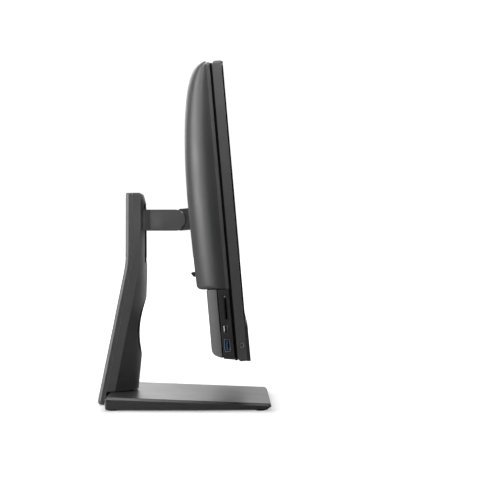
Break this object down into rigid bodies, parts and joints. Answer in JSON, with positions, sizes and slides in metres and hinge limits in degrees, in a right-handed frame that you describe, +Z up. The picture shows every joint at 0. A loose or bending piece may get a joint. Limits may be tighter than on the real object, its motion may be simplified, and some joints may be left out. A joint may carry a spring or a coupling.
{
  "type": "all-in-one desktop computer",
  "caption": "Flat-screen desktop computer with the computer built in behind the display, on a wedge base with a height-adjustable riser and a tilting arm.",
  "frame": {"origin": "on the desk, at the middle of the object's plan outline", "axes": "+Z up; +X to the right for a person facing the screen; the screen faces -Y"},
  "size_m": [0.54, 0.2185, 0.4149],
  "materials": {
    "charcoal_plastic": "fine satin texture",
    "black_plastic": "matt",
    "base_paint": "satin",
    "screen_glass": "polished, dark",
    "display_panel": "dark, switched off",
    "zinc_steel": "zinc plated",
    "connector_metal": "nickel plated",
    "circuit_board": "solder mask",
    "aluminium": "satin",
    "rubber": "matt"
  },
  "bodies": {
    "stand": {"base_cover": "base_paint", "base_plate": "zinc_steel", "base_screw": "zinc_steel", "foot_front_left": "rubber", "foot_front_right": "rubber", "foot_rear_left": "rubber", "foot_rear_right": "rubber", "riser_front_cover": "charcoal_plastic", "riser_rear_cover": "charcoal_plastic", "riser_spine": "zinc_steel", "guide_rail_left": "zinc_steel", "guide_rail_right": "zinc_steel", "spring_drum": "zinc_steel", "cable_sleeve": "black_plastic"},
    "carriage": {"carriage_block": "zinc_steel", "arm_beam": "zinc_steel", "arm_side_cover_left": "charcoal_plastic", "arm_side_cover_right": "charcoal_plastic", "hinge_pin": "zinc_steel", "friction_washer_left": "zinc_steel", "friction_washer_right": "zinc_steel", "slot_shutter": "black_plastic"},
    "head": {"tilt_bracket": "black_plastic", "stand_mount_plate": "zinc_steel", "mount_bracket": "zinc_steel", "mount_screw_1": "zinc_steel", "mount_screw_2": "zinc_steel", "mount_screw_3": "zinc_steel", "mount_screw_4": "zinc_steel", "rear_cover": "charcoal_plastic", "mid_frame": "charcoal_plastic", "display_gasket": "rubber", "front_bezel": "charcoal_plastic", "lcd_panel": "display_panel", "cover_glass": "screen_glass", "chin_cover": "charcoal_plastic", "speaker_left": "black_plastic", "speaker_right": "black_plastic", "lower_rear_shell": "charcoal_plastic", "rear_port_plate": "zinc_steel", "power_inlet": "black_plastic", "network_jack": "connector_metal", "rear_usb_port": "connector_metal", "side_io_panel": "black_plastic", "side_button_panel": "black_plastic", "usb_a_port": "connector_metal", "usb_c_port": "connector_metal", "card_reader": "black_plastic", "audio_jack": "connector_metal", "motherboard": "circuit_board", "heat_sink": "aluminium", "fan_housing": "black_plastic", "memory_module": "circuit_board", "storage_drive": "aluminium", "power_supply": "zinc_steel"},
    "fan": {"fan_rotor": "charcoal_plastic"},
    "pop_up_camera": {"webcam": "black_plastic"},
    "power_button": {"power_button": "charcoal_plastic"},
    "release_latch": {"release_latch": "black_plastic"}
  },
  "joints": [
    {"name": "height", "type": "slide", "parent": "stand", "child": "carriage", "axis": [0, 0, 1], "range_m": [-0.04, 0.005]},
    {"name": "tilt", "type": "hinge", "parent": "carriage", "child": "head", "pos_m": [0, 0.0128, 0.2369], "axis": [1, 0, 0], "range_deg": [-20, 10]},
    {"name": "fan_spin", "type": "hinge", "parent": "head", "child": "fan", "pos_m": [-0.166, -0.02829, 0.32684], "axis": [0, 0.9962, -0.0875], "continuous": true},
    {"name": "camera_pop_up", "type": "slide", "parent": "head", "child": "pop_up_camera", "axis": [0, 0.0875, 0.9962], "range_m": [0, 0.02]},
    {"name": "power_press", "type": "slide", "parent": "head", "child": "power_button", "axis": [-1, 0, 0], "range_m": [0, 0.0015]},
    {"name": "latch_slide", "type": "slide", "parent": "head", "child": "release_latch", "axis": [0, -0.0875, -0.9962], "range_m": [0, 0.004]}
  ]
}
